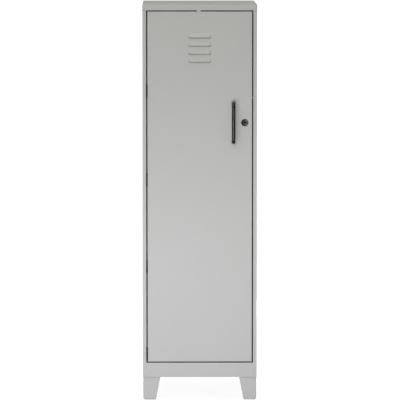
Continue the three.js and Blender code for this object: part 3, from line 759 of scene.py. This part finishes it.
def base_rail():
    """The face below the door, its sill and the lower door stop."""
    (_, y0, z0), (x1, y1, z1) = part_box("base_rail")
    sill = z1 - SILL_DROP
    line = [(y0, z0), (y0, sill), (y1 - SHEET, sill), (y1 - SHEET, z1)]
    end = RAIL_END - WELD_LINE
    rail = prism("base_rail_sheet", folded(line), "x", -end, end)
    above = z1 + CUT_OVERRUN
    behind = y1 + CUT_OVERRUN
    tools = []
    for side in (-1, 1):
        past_end = side * (end + CUT_OVERRUN)
        face = sorted((side * x1, past_end))
        stop = sorted((side * (x1 - STOP_WIDTH), past_end))
        tools.append(block((face[0], y0 - CUT_OVERRUN, RAIL_FLUSH_TOP), (face[1], behind, above)))
        tools.append(block((stop[0], y1 - STOP_CUT_DEPTH, z0), (stop[1], behind, above)))
    cut(rail, *tools)
    return dress(soften(rail), "base_rail")


def leg(node):
    """A tapered leg: one sheet bent along its outer corner, with a plate under it for the glide."""
    lowest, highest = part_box(node)
    hand = Vector((-1 if lowest.x > 0 else 1, -1 if lowest.y > 0 else 1))
    corner_x = lowest.x if hand.x > 0 else highest.x
    corner_y = lowest.y if hand.y > 0 else highest.y
    corner = Vector((corner_x, corner_y))
    top_width = highest.x - lowest.x
    rows = [lowest.z, BODY_BOTTOM, highest.z]
    widths = [LEG_FOOT_WIDTH, top_width, top_width]
    bend_steps = 2 * BEND_STEPS
    bm = bmesh.new()
    lines = []
    for height, width in zip(rows, widths):
        plan = [(reach, 0.0) for reach in (width, (width + LEG_BEND) / 2)]
        for step in range(bend_steps + 1):
            angle = math.pi / 2 * step / bend_steps
            plan.append((LEG_BEND * (1 - math.sin(angle)), LEG_BEND * (1 - math.cos(angle))))
        plan += [(0.0, reach) for reach in ((width + LEG_BEND) / 2, width)]
        spots = [corner + Vector((u * hand.x, v * hand.y)) for u, v in plan]
        lines.append([bm.verts.new((*spot, height)) for spot in spots])
    for line, following in zip(lines, lines[1:]):
        for step in range(len(line) - 1):
            bm.faces.new((line[step], line[step + 1], following[step + 1], following[step]))
    bmesh.ops.recalc_face_normals(bm, faces=bm.faces)
    wings = make(node + "_sheet", bm)
    biggest = max(wings.data.polygons, key=lambda face: face.area)
    if abs(biggest.normal.x) > abs(biggest.normal.y):
        away = Vector((-hand.x, 0, 0))
    else:
        away = Vector((0, -hand.y, 0))
    thickened(wings, LEG_SHEET, away)
    inner = corner + hand * LEG_SHEET / 2
    outer = corner + hand * (LEG_FOOT_WIDTH - LEG_SHEET)
    bottom = lowest.z + LEG_PLATE_RAISE
    plate = block(
        (min(inner.x, outer.x), min(inner.y, outer.y), bottom),
        (max(inner.x, outer.x), max(inner.y, outer.y), bottom + LEG_SHEET),
    )
    join(wings, plate)
    return dress(soften(wings, LEG_EDGE), node)


def glide(node):
    """A nylon pad with rounded corners, and the peg that holds it in the leg's plate."""
    lowest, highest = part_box(node)
    middle = (lowest + highest) / 2
    half = (highest.x - lowest.x) / 2
    flat = half - GLIDE_CORNER
    pad_top = low("leg_front_left").z - GLIDE_SEAT
    bm = bmesh.new()
    outline = []
    for quarter, (x, y) in enumerate(((1, 1), (-1, 1), (-1, -1), (1, -1))):
        for step in range(GLIDE_CORNER_STEPS + 1):
            angle = math.pi / 2 * (quarter + step / GLIDE_CORNER_STEPS)
            spot_x = middle.x + x * flat + GLIDE_CORNER * math.cos(angle)
            spot_y = middle.y + y * flat + GLIDE_CORNER * math.sin(angle)
            outline.append((spot_x, spot_y))
    bottom = bm.faces.new([bm.verts.new((*spot, lowest.z)) for spot in outline])
    raised = bmesh.ops.extrude_face_region(bm, geom=[bottom])
    moved = [item for item in raised["geom"] if isinstance(item, bmesh.types.BMVert)]
    bmesh.ops.translate(bm, verts=moved, vec=(0, 0, pad_top - lowest.z))
    pad = closed(node + "_pad", bm)
    root = lowest.z + PEG_ROOT
    peg = rod("peg", (middle.x, middle.y), PEG_RADIUS, root, highest.z, "z", PEG_SIDES)
    join(pad, peg)
    return dress(soften(pad, GLIDE_EDGE, GLIDE_EDGE_STEPS), node)


# ---------------------------------------------------------------------------------------------
# Door
# ---------------------------------------------------------------------------------------------


def hood_depth(rise):
    """How far a hood stands out, as a share of its reach, at a share of its height."""
    if rise < LOUVRE_NOSE:
        curl = 1 - (1 - rise / LOUVRE_NOSE) ** LOUVRE_CURL
        return LOUVRE_LIP_DEPTH + (1 - LOUVRE_LIP_DEPTH) * curl
    fall = (rise - LOUVRE_NOSE) / (1 - LOUVRE_NOSE)
    return 1 - LOUVRE_SLOPE * fall - (1 - LOUVRE_SLOPE) * ease(fall)


def hood_share(u, rise):
    """Fades a hood out towards its ends and its rounded upper corners."""
    height = rise * LOUVRE_HOOD
    half = LOUVRE_HALF_WIDTH - LOUVRE_TAPER * rise
    into_corner = max(0.0, height - (LOUVRE_HOOD - LOUVRE_CORNER))
    half -= LOUVRE_CORNER - math.sqrt(max(0.0, LOUVRE_CORNER**2 - into_corner**2))
    return ease(clamp((half - abs(u)) / LOUVRE_END_RAMP, 0.0, 1.0))


def smile(u):
    """How far the lip and its slit curve up at a distance from the door's middle."""
    start = LOUVRE_HALF_WIDTH - LOUVRE_SMILE_REACH
    rising = clamp((abs(u) - start) / (LOUVRE_HALF_WIDTH - start), 0.0, 1.0)
    fading = clamp((abs(u) - LOUVRE_HALF_WIDTH) / LOUVRE_MARGIN, 0.0, 1.0)
    return LOUVRE_SMILE * rising * rising * (1 - fading)


def louvre_lips():
    """The heights of the hoods' lips, from the lowest to the highest."""
    highest = high("door_skin").z - LOUVRE_BELOW_DOOR_TOP
    return [highest - LOUVRE_PITCH * index for index in reversed(range(LOUVRE_COUNT))]


def louvre_columns():
    """The face's grid lines across the hoods, which are closer together at the hoods' ends."""
    detail_start = LOUVRE_HALF_WIDTH - LOUVRE_END_DETAIL
    ends = spread(detail_start, LOUVRE_HALF_WIDTH, LOUVRE_END_COLUMNS)
    ends.append(LOUVRE_HALF_WIDTH + LOUVRE_MARGIN)
    middle = spread(-detail_start, detail_start, LOUVRE_MIDDLE_COLUMNS)
    return [-u for u in reversed(ends)] + middle[1:-1] + ends


def louvre_rows():
    """The face's grid lines up through all the hoods."""
    shares = [(row / LOUVRE_ROWS) ** LOUVRE_ROW_CROWDING for row in range(LOUVRE_ROWS + 1)]
    rows = []
    for lip in louvre_lips():
        rows.append(lip - LOUVRE_BELOW)
        rows += [lip + LOUVRE_HOOD * share for share in shares]
        rows.append(lip + LOUVRE_HOOD + LOUVRE_ABOVE)
    return rows


def louvred_face(bm, across, up, place):
    """The door's face, with a slit below each pressed hood."""
    lips = louvre_lips()
    below, above = [], []
    for height in up:
        lip = next((lip for lip in lips if 0 <= height - lip <= LOUVRE_HOOD), None)
        flat_line, raised_line = [], []
        for u in across:
            if lip is None:
                flat = raised = bm.verts.new(place(u, height, 0.0))
            else:
                rise = (height - lip) / LOUVRE_HOOD
                spot = height + smile(u) * (1 - rise) ** 2
                depth = LOUVRE_REACH * hood_depth(rise) * hood_share(u, rise)
                flat = raised = bm.verts.new(place(u, spot, -depth))
                if rise == 0 and depth > SLIT_LEAST:
                    flat = bm.verts.new(place(u, spot, 0.0))
            flat_line.append(flat)
            raised_line.append(raised)
        below.append(flat_line)
        above.append(raised_line)
    for lower_row, upper_row in zip(above, below[1:]):
        for step in range(len(across) - 1):
            corners = (lower_row[step], lower_row[step + 1], upper_row[step + 1], upper_row[step])
            bm.faces.new(corners)


def axis_of(node):
    """The middle of a node, seen from the front, as (x, z)."""
    middle = (low(node) + high(node)) / 2
    return middle.x, middle.z


def door_skin():
    """The door's pan, with its louvres and the holes for its lock and handle."""
    (x0, _, z0), (x1, y1, z1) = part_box("door_skin")
    depth = y1 - FRONT
    across = [x0, *louvre_columns(), x1]
    up = [z0, *louvre_rows(), z1]

    def place(u, v, behind):
        return (u, FRONT + behind, v)

    skin = pan("door_skin_panel", across, up, depth, DOOR_RIM, place, (0, -1, 0), louvred_face)
    through = (FRONT - CUT_OVERRUN, FRONT + CUT_OVERRUN)
    tools = [rod("lock_hole", axis_of("lock_body"), LOCK_HOLE_RADIUS, *through)]
    for node in HANDLE_SCREWS:
        tools.append(rod("screw_hole", axis_of(node), SCREW_HOLE_RADIUS, *through))
    tools += [notch(name, x0, -1) for name in HINGES]
    cut(skin, *tools)
    return dress(soften(skin), "door_skin")


def squarish(value):
    """One coordinate of a round section that is a little squared off."""
    return math.copysign(abs(value) ** HANDLE_SQUARENESS, value)


def handle_line(foot, front, bottom, top):
    """The handle's middle line from foot to foot, as places and the ways it runs, in (y, z)."""
    bend = front + HANDLE_BEND
    out, back = Vector((-1.0, 0.0)), Vector((1.0, 0.0))
    line = [(Vector((y, top)), out) for y in spread(foot, bend, HANDLE_FOOT_STEPS)[:-1]]
    for middle_z, start in ((top - HANDLE_BEND, 0.0), (bottom + HANDLE_BEND, math.pi / 2)):
        middle = Vector((bend, middle_z))
        for step in range(HANDLE_BEND_STEPS + 1):
            angle = start + math.pi / 2 * step / HANDLE_BEND_STEPS
            away = Vector((-math.sin(angle), math.cos(angle)))
            line.append((middle + away * HANDLE_BEND, away.orthogonal()))
    line += [(Vector((y, bottom)), back) for y in spread(bend, foot, HANDLE_FOOT_STEPS)[1:]]
    return line


def pull_handle():
    """A bar bent into an arch, slimmer at its feet."""
    lowest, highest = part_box("pull_handle")
    radius = (highest.x - lowest.x) / 2
    x = (lowest.x + highest.x) / 2
    foot = highest.y
    front = lowest.y + radius
    bm = bmesh.new()
    rings = []
    for spot, way in handle_line(foot, front, lowest.z + radius, highest.z - radius):
        share = ease(clamp((foot - spot.x) / (foot - front), 0.0, 1.0))
        width = radius * (HANDLE_FOOT_SHARE + (1 - HANDLE_FOOT_SHARE) * share)
        side = way.orthogonal()
        ring = []
        for step in range(HANDLE_SIDES):
            angle = 2 * math.pi * step / HANDLE_SIDES
            aside = spot + side * radius * squarish(math.sin(angle))
            ring.append(bm.verts.new((x + width * squarish(math.cos(angle)), aside.x, aside.y)))
        rings.append(ring)
    for ring, following in zip(rings, rings[1:]):
        for step in range(HANDLE_SIDES):
            after = (step + 1) % HANDLE_SIDES
            bm.faces.new((ring[step], ring[after], following[after], following[step]))
    for ring in (rings[0], rings[-1]):
        bm.faces.new(ring)
    handle = closed("pull_handle_bar", bm)
    inside = (FRONT - SCREW_HOLE_DEPTH, FRONT + CUT_OVERRUN)
    holes = [rod("hole", axis_of(node), SCREW_HOLE_RADIUS, *inside) for node in HANDLE_SCREWS]
    cut(handle, *holes)
    return dress(soften(handle, HANDLE_EDGE, limit=HANDLE_SHARP_ANGLE), "pull_handle")


def lock_rim():
    """The lock's face with its rounded rim, and its barrel through the door."""
    lowest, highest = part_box("lock_body")
    radius = (highest.x - lowest.x) / 2
    front, back = lowest.y, highest.y
    seat = FRONT - LOCK_SEAT
    profile = [
        (LOCK_BORE_RADIUS, front + LOCK_BORE_CHAMFER),
        (LOCK_BORE_RADIUS + LOCK_BORE_CHAMFER, front),
    ]
    for step in range(BEND_STEPS + 1):
        angle = math.pi / 2 * step / BEND_STEPS
        in_from_edge = LOCK_ROUNDING * (1 - math.sin(angle))
        profile.append((radius - in_from_edge, front + LOCK_ROUNDING * (1 - math.cos(angle))))
    profile += [
        (radius, seat),
        (LOCK_BARREL_RADIUS, seat),
        (LOCK_BARREL_RADIUS, back),
        (LOCK_BORE_RADIUS, back),
    ]
    rim = turned("lock_body_rim", profile, axis_of("lock_body"))
    return dress(soften(rim, LOCK_EDGE), "lock_body")


def key_plug():
    """The plug that the key turns, with a coned mouth round its keyway."""
    lowest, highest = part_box("lock_plug")
    front, back = lowest.y, highest.y
    shoulder = high("lock_body").y + PLUG_SHOULDER
    x, z = axis_of("lock_plug")
    profile = [
        (0.0, front + KEY_CONE_DEPTH),
        (KEY_CONE_RADIUS - KEY_CONE_TAPER, front + KEY_CONE_DEPTH),
        (KEY_CONE_RADIUS, front),
        (PLUG_RADIUS - PLUG_CHAMFER, front),
        (PLUG_RADIUS, front + PLUG_CHAMFER),
        (PLUG_RADIUS, shoulder),
        (PLUG_TAIL_RADIUS, shoulder),
        (PLUG_TAIL_RADIUS, back),
        (0.0, back),
    ]
    plug = turned("lock_plug_core", profile, (x, z))
    keyway = block(
        (x - KEYWAY_WIDTH / 2, front - CUT_OVERRUN, z - KEYWAY_HEIGHT / 2),
        (x + KEYWAY_WIDTH / 2, front + KEYWAY_DEPTH, z + KEYWAY_HEIGHT / 2),
    )
    screw_hole = rod(
        "screw_hole",
        (x, z),
        CAM_SCREW_HOLE_RADIUS,
        back - CAM_SCREW_HOLE_DEPTH,
        back + CUT_OVERRUN,
    )
    cut(plug, keyway, screw_hole)
    return dress(soften(plug, LOCK_EDGE), "lock_plug")


# ---------------------------------------------------------------------------------------------
# CAD pieces whose shape is right
# ---------------------------------------------------------------------------------------------


def keep(node):
    """Keeps a CAD node's own shape, with its edges rounded."""
    piece = frame["nodes"][node]
    paint(piece, node)
    weld = piece.modifiers.new("weld", "WELD")
    weld.merge_threshold = CAD_MERGE
    flats = piece.modifiers.new("flats", "DECIMATE")
    flats.decimate_type = "DISSOLVE"
    flats.angle_limit = math.radians(FLAT_ANGLE)
    soften(piece)


# ---------------------------------------------------------------------------------------------
# Stage
# ---------------------------------------------------------------------------------------------

FLOOR_SIZE = 400.0
FLOOR_SHADE = 0.25
FLOOR_ROUGHNESS = 0.9
FLOOR_GLOW = 0.03
FLOOR_WHITE = 0.9  # how brightly the camera sees the floor's own glow
SKY = [(0.0, 0.0), (1.0, 0.97)]  # the studio's light from the horizon to overhead
WARM = (1.0, 0.995, 0.87)
COOL = (0.98, 0.985, 1.0)


def lit_but_seen(tree, lit, seen, output):
    """Lights the scene with one shader and shows the camera another."""
    choice = tree.nodes.new("ShaderNodeMixShader")
    path = tree.nodes.new("ShaderNodeLightPath")
    sources = (path.outputs["Is Camera Ray"], lit.outputs[0], seen.outputs[0])
    for source, socket in zip(sources, choice.inputs):
        tree.links.new(source, socket)
    tree.links.new(choice.outputs[0], output.inputs["Surface"])


def stage():
    """A large floor with soft shadows, which the camera sees as nearly white."""
    bm = bmesh.new()
    bmesh.ops.create_grid(bm, x_segments=1, y_segments=1, size=FLOOR_SIZE / 2)
    bmesh.ops.translate(bm, verts=bm.verts, vec=(0, 0, FLOOR))
    floor = make("floor", bm)
    material, shader, _ = surface("pale_floor")
    nodes = material.node_tree.nodes
    white = nodes.new("ShaderNodeBsdfPrincipled")
    for side, glow in ((shader, FLOOR_GLOW), (white, FLOOR_WHITE)):
        side.inputs["Base Color"].default_value = grey(FLOOR_SHADE)
        side.inputs["Roughness"].default_value = FLOOR_ROUGHNESS
        side.inputs["Specular IOR Level"].default_value = 0.0
        side.inputs["Emission Color"].default_value = grey(1.0)
        side.inputs["Emission Strength"].default_value = glow
    output = next(node for node in nodes if node.type == "OUTPUT_MATERIAL")
    lit_but_seen(material.node_tree, shader, white, output)
    floor.data.materials.append(material)


def world():
    """Soft light that grows from the horizon to overhead, in front of a white backdrop."""
    backdrop = bpy.data.worlds.new("studio")
    bpy.context.scene.world = backdrop
    backdrop.use_nodes = True
    tree = backdrop.node_tree
    tree.nodes.clear()
    output = tree.nodes.new("ShaderNodeOutputWorld")
    way = tree.nodes.new("ShaderNodeTexCoord")
    split = tree.nodes.new("ShaderNodeSeparateXYZ")
    tree.links.new(way.outputs["Generated"], split.inputs[0])
    shades = ramp(backdrop, split.outputs["Z"], [(place, grey(shade)) for place, shade in SKY])
    lit = tree.nodes.new("ShaderNodeBackground")
    warm = mixed(backdrop, "MULTIPLY", 1.0, shades, (*WARM, 1.0))
    tree.links.new(warm, lit.inputs["Color"])
    seen = tree.nodes.new("ShaderNodeBackground")
    seen.inputs["Color"].default_value = grey(1.0)
    lit_but_seen(tree, lit, seen, output)


def softbox(name, at, toward, size, power, colour=COOL):
    """A rectangular light that the camera doesn't see."""
    light = bpy.data.lights.new(name, "AREA")
    light.color = colour
    light.shape = "RECTANGLE"
    light.size, light.size_y = size
    light.energy = power
    made = bpy.data.objects.new(name, light)
    made.location = at
    way = Vector(toward) - Vector(at)
    made.rotation_euler = way.to_track_quat("-Z", "Y").to_euler()
    made.visible_camera = False
    bpy.context.scene.collection.objects.link(made)


def camera():
    lens = bpy.data.cameras.new("camera")
    lens.lens = CAMERA_LENS
    lens.sensor_width = CAMERA_SENSOR
    lens.clip_end = CAMERA_REACH
    made = bpy.data.objects.new("camera", lens)
    made.location = (CAMERA_X, FRONT - CAMERA_DISTANCE, CAMERA_HEIGHT)
    made.rotation_euler = (math.pi / 2 - CAMERA_PITCH, 0.0, -CAMERA_YAW)
    bpy.context.scene.collection.objects.link(made)
    bpy.context.scene.camera = made


# ---------------------------------------------------------------------------------------------
# The whole cabinet
# ---------------------------------------------------------------------------------------------

camera()
world()
stage()
softbox("low", at=(-0.22, -1.75, 0.14), toward=(0, FRONT, 0.14), size=(1.4, 0.5), power=16.4)
softbox("strip", at=(0.04, -2.6, 0.75), toward=(0, FRONT, 0.75), size=(0.14, 0.7), power=5.0)
softbox("key", at=(-0.6, -2.2, 3.0), toward=(0, FRONT, 1.0), size=(2.0, 0.8), power=21.0, colour=WARM)
softbox("left", at=(-2.4, 0.4, 0.6), toward=(0, 0.1, 0.6), size=(0.9, 1.1), power=22.0)
softbox("right", at=(2.4, 0.4, 0.6), toward=(0, 0.1, 0.6), size=(0.9, 1.1), power=16.0)
softbox("rear", at=(0.5, 2.6, 0.6), toward=(0, 0.2, 0.6), size=(1.2, 1.1), power=22.0)

side_panel(1, "side_panel_right")
side_panel(-1, "side_panel_left")
base_rail()
dress(soften(flat_tray("top_cap", CAP_RIM)), "top_cap")
dress(soften(flat_tray("floor_pan", rim=0)), "floor_pan")
for level in ("lower", "middle", "upper"):
    name = f"shelf_{level}"
    dress(soften(flat_tray(name, SHELF_RIM)), name)
for end in ("front", "rear"):
    for side in ("left", "right"):
        leg(f"leg_{end}_{side}")
        glide(f"foot_glide_{end}_{side}")
door_skin()
pull_handle()
lock_rim()
key_plug()

for name, node in frame["nodes"].items():
    if not node.hide_render:
        keep(name)

bpy.context.scene.view_settings.view_transform = "Standard"
